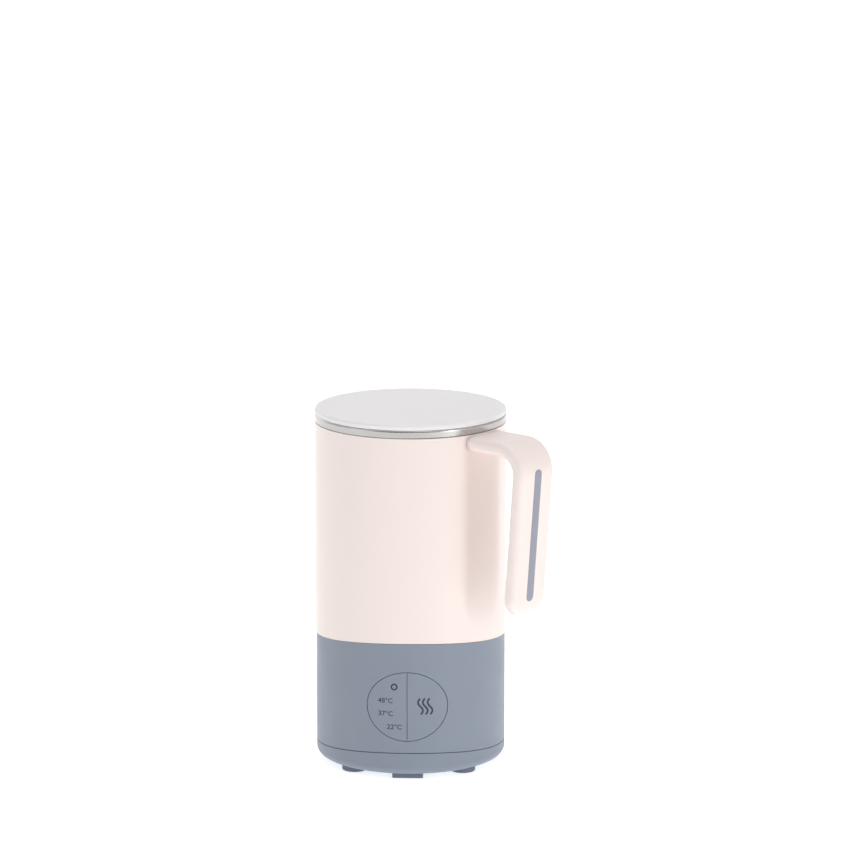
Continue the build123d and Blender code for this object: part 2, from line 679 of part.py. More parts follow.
def rod_socket():
    top = RIM_Z + LID_FLANGE_T - 1.8
    socket = turned(
        [(0, SOCKET_Z), (SOCKET_R, SOCKET_Z), (SOCKET_R, top - 1.2), (7.5, top - 1.2), (7.5, top), (0, top)],
        {(SOCKET_R, SOCKET_Z): 0.6, (SOCKET_R, top - 1.2): 1.5},
    )
    return socket - disc(ROD_R, SOCKET_Z - 1, top - 3)


# ---- stirrer ------------------------------------------------------------------
BUSH_R = 2.6
BUSH_LOW = STIR_Z + 4.3
HUB_LOW = STIR_Z + STIR_H


def stirrer_rod():
    return disc(ROD_R, BUSH_LOW - 0.5, RIM_Z + LID_FLANGE_T - 4.8)


def rod_clip():
    """Button on the end of the rod that keeps the stirrer from dropping off."""
    low, high = BUSH_LOW - 1.5, BUSH_LOW - 0.5
    return turned([(0, low), (BUSH_R, low), (BUSH_R, high), (0, high)], {(BUSH_R, low): 0.4})


def stirrer_bush():
    return tube(BUSH_R, ROD_R + RUN_FIT, BUSH_LOW, HUB_LOW + 4.2)


def stirrer_hub():
    top = HUB_LOW + HUB_H
    hub = turned([(0, HUB_LOW), (HUB_R, HUB_LOW), (HUB_R, top), (0, top)], {(HUB_R, top): 2.0})
    return hub - disc(BUSH_R, HUB_LOW - 1, HUB_LOW + 4.2) - disc(2.0, HUB_LOW, top + 1)


def stirrer_paddle():
    """Domed rotor with four drooping blades under its skirt."""
    outline = [
        (0, STIR_Z + 1.6), (STIR_R - 1.2, STIR_Z + 1.6), (STIR_R, STIR_Z + 2.6), (STIR_R - 1.0, STIR_Z + 4.0),
        (STIR_SHOULDER_R + 2.6, STIR_Z + 6.6), (STIR_SHOULDER_R, HUB_LOW - 0.6),
        (STIR_SHOULDER_R - 1.4, HUB_LOW), (0, HUB_LOW),
    ]
    body = turned(outline)
    for azimuth in (20.0, 110.0, 200.0, 290.0):
        body += at(azimuth, 14.0, STIR_Z + 1.2) * Box(14.0, 3.0, 2.4)
    body -= disc(BUSH_R, 0, 200)
    body -= disc(BUSH_R + 0.4, 0, BUSH_LOW)
    body &= disc(STIR_R, STIR_Z, HUB_LOW)
    for azimuth in (65.0, 245.0):
        body -= at(azimuth, 11.5, STIR_Z + 2.0) * Cylinder(4.0, 4.0)
    return body


def stirrer_magnets():
    return group(at(azimuth, 11.5, STIR_Z + 2.75) * Cylinder(3.9, 2.3) for azimuth in (65.0, 245.0))


NODES = {
    "base_shell": base_shell,
    "bottom_cover": bottom_cover,
    "rubber_feet": rubber_feet,
    "front_pad": front_pad,
    "housing_screws": housing_screws,
    "cord_gland": cord_gland,
    "heater_dish": heater_dish,
    "dish_centre": dish_centre,
    "dish_gasket": dish_gasket,
    "heating_element": heating_element,
    "heater_clamp": heater_clamp,
    "clamp_screws": clamp_screws,
    "dish_sensor": dish_sensor,
    "thermal_fuse": thermal_fuse,
    "contact_housing": contact_housing,
    "contact_block": contact_block,
    "contact_barrels": contact_barrels,
    "contact_pin_left": lambda: contact_plunger(-CONTACT_X),
    "contact_pin_right": lambda: contact_plunger(CONTACT_X),
    "contact_spring_left": lambda: contact_spring(-CONTACT_X),
    "contact_spring_right": lambda: contact_spring(CONTACT_X),
    "motor_can": motor_can,
    "motor_end_cap": motor_end_cap,
    "motor_core": motor_core,
    "motor_shaft": motor_shaft,
    "motor_bearings": motor_bearings,
    "motor_bracket": motor_bracket,
    "motor_screws": motor_screws,
    "magnet_carrier": magnet_carrier,
    "drive_magnets": drive_magnets,
    "button_left": lambda: button(-1),
    "button_right": lambda: button(1),
    "control_board": control_board,
    "control_chips": control_chips,
    "tact_switches": tact_switches,
    "indicator_leds": indicator_leds,
    "power_board": power_board,
    "power_components": power_components,
    "jug_shell": jug_shell,
    "inner_vessel": inner_vessel,
    "jug_base_ring": jug_base_ring,
    "jug_ring_screws": jug_ring_screws,
    "jug_contact_pads": jug_contact_pads,
    "vessel_sensor": vessel_sensor,
    "handle": handle,
    "handle_inlay": inlay_strip,
    "handle_screws": handle_screws,
    "lid_cover": lid_cover,
    "lid_seal": lid_seal,
    "rod_socket": rod_socket,
    "stirrer_rod": stirrer_rod,
    "rod_clip": rod_clip,
    "stirrer_bush": stirrer_bush,
    "stirrer_hub": stirrer_hub,
    "stirrer_paddle": stirrer_paddle,
    "stirrer_magnets": stirrer_magnets,
}

os.makedirs("parts", exist_ok=True)
for name, make in NODES.items():
    export_step(make(), os.path.join("parts", name + ".step"))
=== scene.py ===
import math

import bpy
import bmesh
from mathutils import Matrix, Vector


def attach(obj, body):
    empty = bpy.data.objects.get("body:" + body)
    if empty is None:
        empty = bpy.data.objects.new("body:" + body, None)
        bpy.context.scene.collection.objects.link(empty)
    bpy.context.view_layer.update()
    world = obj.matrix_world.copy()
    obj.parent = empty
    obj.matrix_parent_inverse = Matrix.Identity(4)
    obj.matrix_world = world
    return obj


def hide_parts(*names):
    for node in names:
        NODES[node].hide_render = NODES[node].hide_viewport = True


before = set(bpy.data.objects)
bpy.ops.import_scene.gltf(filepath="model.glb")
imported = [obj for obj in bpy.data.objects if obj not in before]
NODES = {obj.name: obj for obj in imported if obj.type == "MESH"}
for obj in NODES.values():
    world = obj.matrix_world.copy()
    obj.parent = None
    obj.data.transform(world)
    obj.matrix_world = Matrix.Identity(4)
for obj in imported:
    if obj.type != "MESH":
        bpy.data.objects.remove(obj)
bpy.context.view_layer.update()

# Baby food maker: heating base, jug with a side handle, lid with a magnetic
# stirrer on a rod.  Metres, in the CAD model's frame; MM turns millimetres
# into metres.
MM = 0.001
HANDLE_AZ = math.radians(-38.0)
RIM_BAND_Z = 199.4        # the liner's polished rim, painted darker as a reflection, lies above this height
FOOT_BAND_Z = 82.0        # and its outer foot, painted dark as a reflection of the base, below this one


# ---- camera, light and floor ------------------------------------------------
CAMERA_AZ = math.radians(2.2)       # the camera stands a little to the right
CAMERA_DISTANCE = 2.6
CAMERA_HEIGHT = 0.736
CAMERA_AIM = (0.0083, 0.0, 0.1962)
CAMERA_LENS = 196.0
CAMERA_CLIP = (0.05, 20)

SKY_LIGHT, SKY_MIRRORED = 0.33, 0.95    # the surroundings as light, and as seen in shiny parts
WALL_COLOUR = (0.10, 0.10, 0.11)
WALL_TURN = 0.14                        # radians, from the dark wall's middle to straight ahead
WALL_CORE, WALL_FADE = 0.45, 1.05       # half widths, in radians, of the wall and of its soft edge
WALL_LOW, WALL_TOP = 0.45, 0.75         # upward slopes between which the wall ends

MIDDLE = (0, 0, 0.15)
LIGHTS = (
    # name, place, aim, size, power, colour
    ("key", (1.22, -0.98, 0.45), MIDDLE, (0.26, 0.6), 4.8, (1.0, 0.98, 0.97)),
    ("fill", (-1.5, -1.0, 0.9), MIDDLE, (1.2, 1.4), 2.8, (1, 1, 1)),
    ("front", (0.5, -1.7, 2.1), (0, 0, 0.2), (1.0, 0.8), 2.4, (1, 1, 1)),
    ("top", (0.1, 0.3, 2.0), MIDDLE, (1.6, 1.6), 17.0, (1, 1, 1)),
    ("rear", (-0.9, 1.7, 0.9), MIDDLE, (1.2, 1.2), 4.0, (1, 1, 1)),
)

FLOOR_HALF = 6.0
FLOOR_GLOW = 0.66


def look_at(obj, target):
    """Turn an object's -Z axis towards a point."""
    direction = Vector(target) - obj.location
    obj.rotation_euler = direction.to_track_quat("-Z", "Y").to_euler()


def make_camera():
    data = bpy.data.cameras.new("camera")
    data.lens = CAMERA_LENS
    data.clip_start, data.clip_end = CAMERA_CLIP
    camera = bpy.data.objects.new("camera", data)
    bpy.context.scene.collection.objects.link(camera)
    camera.location = (
        CAMERA_DISTANCE * math.sin(CAMERA_AZ),
        -CAMERA_DISTANCE * math.cos(CAMERA_AZ),
        CAMERA_HEIGHT,
    )
    look_at(camera, CAMERA_AIM)
    bpy.context.scene.camera = camera


def area_light(name, place, target, size, power, colour):
    data = bpy.data.lights.new(name, "AREA")
    data.shape = "RECTANGLE"
    data.size, data.size_y = size
    data.energy = power
    data.color = colour
    light = bpy.data.objects.new(name, data)
    bpy.context.scene.collection.objects.link(light)
    light.location = place
    look_at(light, target)


def make_world():
    """Even pale surroundings: weak as light, bright in shiny parts, which also see a dark wall,
    and white behind the object."""
    world = bpy.data.worlds.new("studio")
    bpy.context.scene.world = world
    world.use_nodes = True
    net = Net(world, "Background")
    direction = net.add("SeparateXYZ", Vector=net.add("TexCoord").outputs["Generated"])
    x, y, z = direction.outputs
    facing = net.math("ARCTAN2", x, net.math("MULTIPLY", y, -1.0))
    aside = net.math("ABSOLUTE", net.math("ADD", facing, WALL_TURN))
    across = net.span(aside, WALL_CORE, WALL_FADE, 1.0, 0.0)
    upward = net.span(z, WALL_LOW, WALL_TOP, 1.0, 0.0)
    wall = net.math("MULTIPLY", across, upward)
    path = net.add("LightPath")
    glossy = path.outputs["Is Glossy Ray"]
    seen = net.math("MULTIPLY", wall, glossy)
    strength = net.span(glossy, 0.0, 1.0, SKY_LIGHT, SKY_MIRRORED)
    strength = net.math("MAXIMUM", strength, path.outputs["Is Camera Ray"])
    net.put(net.shader.inputs["Color"], net.mix(seen, (1.0, 1.0, 1.0), WALL_COLOUR))
    net.put(net.shader.inputs["Strength"], strength)


def make_light():
    make_world()
    for light in LIGHTS:
        area_light(*light)
    bpy.context.scene.view_settings.view_transform = "Standard"


def make_floor():
    mesh = bpy.data.meshes.new("floor")
    build = bmesh.new()
    bmesh.ops.create_grid(build, x_segments=1, y_segments=1, size=FLOOR_HALF)
    build.to_mesh(mesh)
    build.free()
    floor = bpy.data.objects.new("floor", mesh)
    bpy.context.scene.collection.objects.link(floor)
    sweep = plain("floor", (0.9, 0.9, 0.9), 0.7)
    Net(sweep).set(Emission_Color=(1, 1, 1, 1), Emission_Strength=FLOOR_GLOW)
    floor.data.materials.append(sweep)


# ---- material building --------------------------------------------------------
def plain(name, colour, roughness):
    """Material with one colour, the base of all the others."""
    material = bpy.data.materials.new(name)
    material.use_nodes = True
    shader = material.node_tree.nodes["Principled BSDF"]
    shader.inputs["Base Color"].default_value = (*colour, 1)
    shader.inputs["Roughness"].default_value = roughness
    return material


class Net:
    """Short ways to add and link nodes of one material or world."""

    def __init__(self, material, shader="Principled BSDF"):
        self.tree = material.node_tree
        self.shader = self.tree.nodes[shader]

    def add(self, kind, **inputs):
        node = self.tree.nodes.new("ShaderNode" + kind)
        for name, value in inputs.items():
            self.put(node.inputs[name.replace("_", " ")], value)
        return node

    def put(self, socket, value):
        if isinstance(value, bpy.types.NodeSocket):
            self.tree.links.new(value, socket)
        else:
            socket.default_value = value

    def math(self, operation, a, b=0.0):
        node = self.tree.nodes.new("ShaderNodeMath")
        node.operation = operation
        self.put(node.inputs[0], a)
        self.put(node.inputs[1], b)
        return node.outputs[0]

    def span(self, value, low, high, to_low, to_high):
        node = self.add("MapRange", From_Min=low, From_Max=high, To_Min=to_low, To_Max=to_high)
        self.put(node.inputs["Value"], value)
        return node.outputs["Result"]

    def spread(self, noise, to_low, to_high):
        """A noise's usual values, 0.3 to 0.7, spread over a range."""
        return self.span(noise, 0.3, 0.7, to_low, to_high)

    def mix(self, factor, a, b):
        node = self.tree.nodes.new("ShaderNodeMix")
        node.data_type = "RGBA"
        self.put(node.inputs["Factor"], factor)
        self.put(node.inputs["A"], a if isinstance(a, bpy.types.NodeSocket) else (*a, 1))
        self.put(node.inputs["B"], b if isinstance(b, bpy.types.NodeSocket) else (*b, 1))
        return node.outputs["Result"]

    def place(self):
        return self.add("TexCoord").outputs["Object"]

    def noise(self, scale, detail=4.0, vector=None, stretch=None):
        vector = vector or self.place()
        if stretch:
            mapping = self.add("Mapping", Vector=vector)
            mapping.inputs["Scale"].default_value = stretch
            vector = mapping.outputs["Vector"]
        node = self.add("TexNoise", Vector=vector, Scale=scale, Detail=detail)
        return node.outputs["Fac"]

    def round_place(self, turns=1.0, height=1.0):
        """Coordinates that run round the Z axis, up it and out from it."""
        parts = self.add("SeparateXYZ", Vector=self.place())
        x, y, z = parts.outputs
        angle = self.math("MULTIPLY", self.math("ARCTAN2", x, y), turns)
        squares = self.math("ADD", self.math("MULTIPLY", x, x), self.math("MULTIPLY", y, y))
        radius = self.math("SQRT", squares)
        return angle, radius, self.math("MULTIPLY", z, height)

    def join(self, x, y, z):
        return self.add("CombineXYZ", X=x, Y=y, Z=z).outputs[0]

    def bump(self, height, distance, strength=1.0, under=None):
        node = self.add("Bump", Height=height, Distance=distance, Strength=strength)
        if under:
            self.put(node.inputs["Normal"], under)
        return node.outputs["Normal"]

    def set(self, **values):
        for name, value in values.items():
            self.put(self.shader.inputs[name.replace("_", " ")], value)


DRIFT_SCALE, SHEEN_SCALE = 18.0, 60.0           # noise scales, per metre
GRAIN_SCALE, WAVE_SCALE = 2600.0, 240.0
UP_STREAKS, FINE_STREAKS = (130.0, 14.0), (900.0, 60.0)     # round the axis, and along it


def moulded(name, colour, roughness=0.42, grain=0.05, specular=0.45, vary=0.05, sheen_vary=0.06):
    """Injection-moulded plastic: faint colour drift, fine spark-eroded grain, small sheen changes."""
    material = plain(name, colour, roughness)
    net = Net(material)
    drift = net.noise(DRIFT_SCALE, 3.0)
    light = tuple(min(1.0, c * (1 + vary)) for c in colour)
    dark = tuple(c * (1 - vary) for c in colour)
    grain_height = net.noise(GRAIN_SCALE, 2.0)
    wide_height = net.noise(WAVE_SCALE, 2.0)
    rough = net.spread(net.noise(SHEEN_SCALE, 5.0), roughness - sheen_vary, roughness + sheen_vary)
    normal = net.bump(grain_height, grain * MM * 0.5, 0.5)
    normal = net.bump(wide_height, grain * MM * 0.3, 0.3, normal)
    net.set(Base_Color=net.mix(drift, dark, light), Roughness=rough, Normal=normal)
    net.set(Specular_IOR_Level=specular)
    return material


def rubber(name, colour, roughness=0.7):
    return moulded(name, colour, roughness, grain=0.12, specular=0.3, vary=0.1)


def brushed_up(name, colour, roughness=0.3):
    """Steel brushed along the Z axis, as inside a drawn vessel."""
    material = plain(name, colour, roughness)
    net = Net(material)
    angle, radius, height = net.round_place(*UP_STREAKS)
    streak = net.noise(1.0, 6.0, net.join(angle, height, radius))
    fine_angle, _, fine_height = net.round_place(*FINE_STREAKS)
    fine = net.noise(1.0, 3.0, net.join(fine_angle, fine_height, 0.0))
    both = net.math("MULTIPLY", net.math("ADD", streak, fine), 0.5)
    dark = tuple(c * 0.84 for c in colour)
    net.set(Base_Color=net.mix(net.spread(both, 0.0, 1.0), dark, colour))
    net.set(Roughness=net.spread(streak, roughness - 0.06, roughness + 0.12))
    net.set(Normal=net.bump(both, 0.06 * MM, 0.5), Metallic=1.0)
    return material


def spun(name, colour, roughness=0.25, pitch=0.5, depth=0.01):
    """Steel turned on a lathe: fine rings about the Z axis and a radial glint."""
    material = plain(name, colour, roughness)
    net = Net(material)
    _, radius, _ = net.round_place()
    rings = net.noise(1.0, 5.0, net.join(net.math("MULTIPLY", radius, 1 / (pitch * MM)), 0.0, 0.0))
    dark = tuple(c * 0.86 for c in colour)
    net.set(Base_Color=net.mix(net.spread(rings, 0.0, 1.0), dark, colour))
    net.set(Roughness=net.spread(rings, roughness - 0.05, roughness + 0.08))
    net.set(Normal=net.bump(rings, depth * MM, 0.4), Metallic=1.0, Anisotropic=0.75)
    tangent = net.tree.nodes.new("ShaderNodeTangent")
    tangent.direction_type, tangent.axis = "RADIAL", "Z"
    net.set(Tangent=tangent.outputs[0])
    return material


def metal(name, colour, roughness, grain=0.01, scale=600.0):
    """Plated or cast metal with a fine uneven surface."""
    material = plain(name, colour, roughness)
    net = Net(material)
    patch = net.noise(scale * 0.2, 4.0)
    net.set(Base_Color=net.mix(patch, tuple(c * 0.88 for c in colour), colour), Metallic=1.0)
    net.set(Roughness=net.spread(patch, roughness * 0.8, roughness * 1.25))
    net.set(Normal=net.bump(net.noise(scale, 3.0), grain * MM, 0.4))
    return material


def frosted(name, colour, roughness, weight, depth):
    """Milky translucent plastic: light goes through and scatters inside."""
    material = moulded(name, colour, roughness, grain=0.03, specular=0.4, vary=0.02)
    net = Net(material)
    net.set(Transmission_Weight=weight, IOR=1.45)
    net.set(Subsurface_Weight=depth, Subsurface_Scale=4 * MM)
    net.shader.inputs["Subsurface Radius"].default_value = (1.0, 0.95, 0.9)
    return material


def vessel_steel():
    """The jug's liner: brushed inside, a polished rolled rim, a darker outer foot; the rim's and the
    foot's darker colours are painted reflection.
    """
    # rim colour: polished steel darkened by painted reflection; foot colour: painted reflection of the
    # base
    rim_steel_and_reflection, foot_painted_reflection = (0.46, 0.45, 0.44), (0.36, 0.34, 0.32)
    material = brushed_up("vessel_steel", (0.93, 0.93, 0.92), 0.46)
    net = Net(material)
    height = net.add("SeparateXYZ", Vector=net.place()).outputs[2]
    rim = net.math("GREATER_THAN", height, RIM_BAND_Z * MM)
    foot = net.math("LESS_THAN", height, FOOT_BAND_Z * MM)
    brushed_colour = net.shader.inputs["Base Color"].links[0].from_socket
    brushed_rough = net.shader.inputs["Roughness"].links[0].from_socket
    # painted reflections: the outer foot and the rim take darker colours that stand in for what they
    # mirror; the rim's polish, in roughness and metal, is real
    colour = net.mix(foot, net.mix(rim, brushed_colour, rim_steel_and_reflection), foot_painted_reflection)
    polished = net.spread(net.noise(9.0, 2.0, None, (1, 1, 6)), 0.12, 0.22)
    pick = net.tree.nodes.new("ShaderNodeMix")
    net.put(pick.inputs[0], rim)
    net.put(pick.inputs[2], brushed_rough)
    net.put(pick.inputs[3], polished)
    net.set(Base_Color=colour, Roughness=pick.outputs[0])
    net.set(Metallic=net.span(rim, 0.0, 1.0, 0.55, 1.0))
    return material


# ---- mesh building --------------------------------------------------------------
def new_piece(name, build, body, material, smooth=True):
    """Turn a bmesh into a piece that rides on a body."""
    mesh = bpy.data.meshes.new(name)
    bmesh.ops.recalc_face_normals(build, faces=build.faces[:])
    build.to_mesh(mesh)
    build.free()
    for face in mesh.polygons:
        face.use_smooth = smooth
    piece = bpy.data.objects.new(name, mesh)
    bpy.context.scene.collection.objects.link(piece)
    piece.data.materials.append(material)
    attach(piece, body)
    return piece


def loft(build, rings, closed_ends=True):
    """Skin a list of rings that have the same number of points."""
    rows = [[build.verts.new(point) for point in ring] for ring in rings]
    count = len(rows[0])
    for low, high in zip(rows, rows[1:]):
        for i in range(count):
            j = (i + 1) % count
            build.faces.new((low[i], low[j], high[j], high[i]))
    if closed_ends:
        build.faces.new(list(reversed(rows[0])))
        build.faces.new(rows[-1])
    return rows


def turned(build, profile, place, segments):
    """Skin a closed profile round the Z axis; place() sets one of its points at one azimuth."""
    azimuths = [2 * math.pi * step / segments for step in range(segments)]
    rings = [[place(point, azimuth) for azimuth in azimuths] for point in profile]
    rows = loft(build, rings, closed_ends=False)
    for i in range(segments):
        j = (i + 1) % segments
        build.faces.new((rows[-1][i], rows[-1][j], rows[0][j], rows[0][i]))


def rounded_outline(half_x, half_y, radius, arc=8):
    """Closed outline of a rounded rectangle, counter-clockwise."""
    points = []
    for cx, cy, start in ((1, 1, 0), (-1, 1, 90), (-1, -1, 180), (1, -1, 270)):
        for step in range(arc + 1):
            angle = math.radians(start + 90 * step / arc)
            x = cx * (half_x - radius) + radius * math.cos(angle)
            y = cy * (half_y - radius) + radius * math.sin(angle)
            points.append((x, y))
    return points


# ---- handle -----------------------------------------------------------------------
HANDLE_WIDTH, HANDLE_THICK = 30.0, 8.0
ARM_Z = 194.5
GRIP_R, GRIP_Z, LEAN = 90.0, 180.0, math.radians(4.6)
HANDLE_BEND = 14.0
HANDLE_LOW = 97.5
TIP_ROUND, TIP_THIN = 11.5, 2.6     # length of the rounded free end, and how much it thins
EDGE_ROUND = 3.4
ARM_ROOT_R = 54.2                   # the arm starts here, in the shell's wall
ARM_STEPS, BEND_STEPS = 8, 14
GRIP_STATIONS = (0.15, 0.3, 0.45, 0.6, 0.72, 0.82)      # parts of the grip's length

OUTWARD = Vector((math.cos(HANDLE_AZ), math.sin(HANDLE_AZ), 0))
ACROSS = Vector((-math.sin(HANDLE_AZ), math.cos(HANDLE_AZ), 0))
UP = Vector((0, 0, 1))

INLAY_LOW, INLAY_HIGH, INLAY_HALF = 106.0, 183.0, 3.0
# inset from the strip's edge, and height over the grip's face
INLAY_CROWN = ((0.0, -0.9), (0.0, 0.06), (0.12, 0.16), (0.5, 0.24), (1.3, 0.3), (2.3, 0.33))


def handle_path():
    """Points along the middle of the handle: radius, height, heading, way into the rounded end."""
    corner_r = GRIP_R + (ARM_Z - GRIP_Z) * math.tan(LEAN)
    turn = math.pi / 2 + LEAN
    bend_r = corner_r - HANDLE_BEND * math.tan(turn / 2)
    bend_z = ARM_Z - HANDLE_BEND
    reach = bend_r - ARM_ROOT_R
    points = [(ARM_ROOT_R + reach * t / ARM_STEPS, ARM_Z, 0.0, 0.0) for t in range(ARM_STEPS)]
    for step in range(BEND_STEPS + 1):
        angle = turn * step / BEND_STEPS
        r = bend_r + HANDLE_BEND * math.sin(angle)
        z = bend_z + HANDLE_BEND * math.cos(angle)
        points.append((r, z, angle, 0.0))
    start_r, start_z = points[-1][:2]
    length = (start_z - HANDLE_LOW) / math.cos(LEAN)
    round_from = length - TIP_ROUND
    run = [part * length for part in GRIP_STATIONS]
    run += [round_from + TIP_ROUND * math.sin(math.radians(a)) for a in range(0, 90, 6)] + [length]
    for s in run:
        r, z = start_r - s * math.sin(LEAN), start_z - s * math.cos(LEAN)
        points.append((r, z, turn, max(0.0, s - round_from)))
    return points


def build_handle(material):
    """Flat bar swept along its path, with a fully rounded free end."""
    build = bmesh.new()
    rings = []
    for r, z, heading, into_tip in handle_path():
        over = min(into_tip / TIP_ROUND, 1.0)
        drop = math.sqrt(max(0.0, 1 - over ** 2))
        half_w = HANDLE_WIDTH / 2 - TIP_ROUND * (1 - drop)
        half_t = HANDLE_THICK / 2 - TIP_THIN * (1 - drop) ** 1.5
        radius = min(EDGE_ROUND, half_t - 0.05)
        normal = OUTWARD * math.sin(heading) + UP * math.cos(heading)
        middle = OUTWARD * r + UP * z
        outline = rounded_outline(half_w, half_t, radius)
        rings.append([(middle + ACROSS * x + normal * y) * MM for x, y in outline])
    loft(build, rings)
    piece = new_piece("handle_body", build, "jug", material)
    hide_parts("handle")


def build_inlay(material):
    """Soft grey strip, a little crowned, let into the grip."""
    face_out = OUTWARD * math.cos(LEAN) - UP * math.sin(LEAN)
    along = OUTWARD * math.sin(LEAN) + UP * math.cos(LEAN)
    mid = (INLAY_LOW + INLAY_HIGH) / 2
    radius = GRIP_R + HANDLE_THICK / 2 / math.cos(LEAN) - (GRIP_Z - mid) * math.tan(LEAN)
    centre = OUTWARD * radius + UP * mid
    half = (INLAY_HIGH - INLAY_LOW) / 2 / math.cos(LEAN)
    build = bmesh.new()
    rings = []
    for inset, proud in INLAY_CROWN:
        width = INLAY_HALF - inset
        outline = rounded_outline(width, half - inset, width - 0.01, 10)
        rings.append([(centre + ACROSS * x + along * y + face_out * proud) * MM for x, y in outline])
    loft(build, rings)
    piece = new_piece("handle_strip", build, "jug", material)
    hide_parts("handle_inlay")


# ---- stirrer ------------------------------------------------------------------------
STIR_Z, STIR_R, STIR_H = 72.5, 21.5, 9.3
STIR_SEGMENTS, HUB_SEGMENTS = 96, 48
BLADES, BLADE_TURN = 4, math.radians(4)
VALLEY_R = 20.0          # reach between two blades
EDGE_LIFT = 0.5          # how far the edge rises there

# radius, height over STIR_Z, and how far the point follows the blades: from the
# hub out, round the lip and back in
STIR_PROFILE = (
    (3.0, 9.3, 0), (6.5, 9.3, 0), (9.4, 9.25, 0), (11.6, 8.9, 0), (13.9, 7.6, 0.1), (17.0, 5.8, 0.4),
    (19.4, 3.7, 0.8), (20.9, 2.0, 1), (21.4, 1.0, 1), (21.5, 0.5, 1), (21.3, 0.12, 1),
    (20.8, 0.0, 1), (20.0, 0.3, 1), (18.6, 1.4, 0.9), (16.0, 2.3, 0.6), (12.0, 2.6, 0.2),
    (8.0, 2.7, 0), (3.0, 2.7, 0),
)
HUB_PROFILE = (
    (2.0, 9.3), (4.25, 9.3), (4.1, 9.8), (3.95, 10.6), (3.9, 11.8), (3.98, 12.8), (4.0, 13.2),
    (3.85, 13.8), (3.4, 14.2), (2.8, 14.3), (2.0, 14.3),
)


def on_blade(azimuth):
    """1 in the middle of a blade, 0 between two."""
    return (1 + math.cos(BLADES * (azimuth - BLADE_TURN))) / 2


def blade_point(point, azimuth):
    radius, height, lobed = point
    lobe = on_blade(azimuth)
    edge = VALLEY_R + (STIR_R - VALLEY_R) * lobe ** 0.8
    reach = radius * (1 + lobed * (edge / STIR_R - 1))
    lift = lobed * EDGE_LIFT * (1 - lobe)
    z = STIR_Z + height + lift * max(0.0, 1 - height / STIR_H)
    return Vector((reach * math.cos(azimuth), reach * math.sin(azimuth), z)) * MM


def hub_point(point, azimuth):
    radius, height = point
    return Vector((radius * math.cos(azimuth), radius * math.sin(azimuth), STIR_Z + height)) * MM


def build_stirrer(material):
    """Domed paddle whose skirt droops into four rounded blades."""
    build = bmesh.new()
    turned(build, STIR_PROFILE, blade_point, STIR_SEGMENTS)
    piece = new_piece("stirrer_blades", build, "stirrer", material)
    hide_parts("stirrer_paddle")


def build_hub(material):
    """Collar over the paddle, with a rounded top and a shallow waist."""
    build = bmesh.new()
    turned(build, HUB_PROFILE, hub_point, HUB_SEGMENTS)
    piece = new_piece("stirrer_collar", build, "stirrer", material)
    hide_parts("stirrer_hub")


# ---- panel legends ----------------------------------------------------------------------
BASE_R = 54.5
PRINT_PROUD = 0.04        # thickness of the print over the button
PRINT_SUNK = -0.03        # where its back lies, inside the wall
PRINT_EDGE = 0.8          # longer edges are cut, so that they bend with the wall
CAP_STEPS = 6
PANEL_Z = 43.5

RING_X, RING_Z, RING_OUTER, RING_INNER = -7.4, 55.1, 2.05, 1.1
RING_SEGMENTS = 40
STEAM_X, STEAM_Z, STEAM_GAP = 10.4, PANEL_Z + 0.2, 2.75
STEAM_HEIGHT, STEAM_WIDTH, STEAM_SWAY, STEAM_SLANT = 8.8, 1.1, 1.15, 1.0
STEAM_STEPS = 24
NUMBER_WIDTH, NUMBER_HEIGHT = 8.6, 3.0
NUMBERS = (("48°C", -12.6, 47.0), ("37°C", -12.4, 39.4), ("22°C", -7.3, 31.7))


def wrap(piece):
    """Bend a flat print, drawn in X (along the wall) and Z, round the base's front wall."""
    for vertex in piece.data.vertices:
        arc, depth, z = vertex.co
        angle = arc / (BASE_R * MM)
        radius = BASE_R * MM + depth
        vertex.co = (radius * math.sin(angle), -radius * math.cos(angle), z)


def round_cap(centre, heading, width):
    """Points round one end of a ribbon that ends in the direction of heading."""
    angles = [heading - math.pi / 2 + math.pi * step / CAP_STEPS for step in range(1, CAP_STEPS)]
    return [(centre[0] + width / 2 * math.cos(a), centre[1] + width / 2 * math.sin(a)) for a in angles]


def strip_mesh(build, points, width, proud):
    """Flat ribbon of constant width with round ends along (x, z) points."""
    count = len(points)
    left, right = [], []
    for i, (x, z) in enumerate(points):
        ax, az = points[max(0, i - 1)]
        bx, bz = points[min(count - 1, i + 1)]
        length = math.hypot(bx - ax, bz - az)
        nx, nz = -(bz - az) / length, (bx - ax) / length
        left.append((x + nx * width / 2, z + nz * width / 2))
        right.append((x - nx * width / 2, z - nz * width / 2))
    heading_end = math.atan2(points[-1][1] - points[-2][1], points[-1][0] - points[-2][0])
    heading_start = math.atan2(points[0][1] - points[1][1], points[0][0] - points[1][0])
    outline = right + round_cap(points[-1], heading_end, width)
    outline += left[::-1] + round_cap(points[0], heading_start, width)
    prism(build, outline, proud)


def prism(build, outline, proud, hole=None):
    """Thin solid of an (x, z) outline, from just inside the wall to the print's face."""
    def ring(points, depth):
        return [build.verts.new((x * MM, depth * MM, z * MM)) for x, z in points]
    low, high = ring(outline, PRINT_SUNK), ring(outline, proud)
    count = len(outline)
    for i in range(count):
        j = (i + 1) % count
        build.faces.new((low[i], low[j], high[j], high[i]))
    if hole is None:
        build.faces.new(high)
        build.faces.new(list(reversed(low)))
        return
    in_low, in_high = ring(hole, PRINT_SUNK), ring(hole, proud)
    for i in range(count):
        j = (i + 1) % count
        build.faces.new((in_low[j], in_low[i], in_high[i], in_high[j]))
        build.faces.new((high[i], high[j], in_high[j], in_high[i]))
        build.faces.new((low[j], low[i], in_low[i], in_low[j]))


def ring_outline(x, z, radius):
    angles = [2 * math.pi * i / RING_SEGMENTS for i in range(RING_SEGMENTS)]
    return [(x + radius * math.cos(a), z + radius * math.sin(a)) for a in angles]


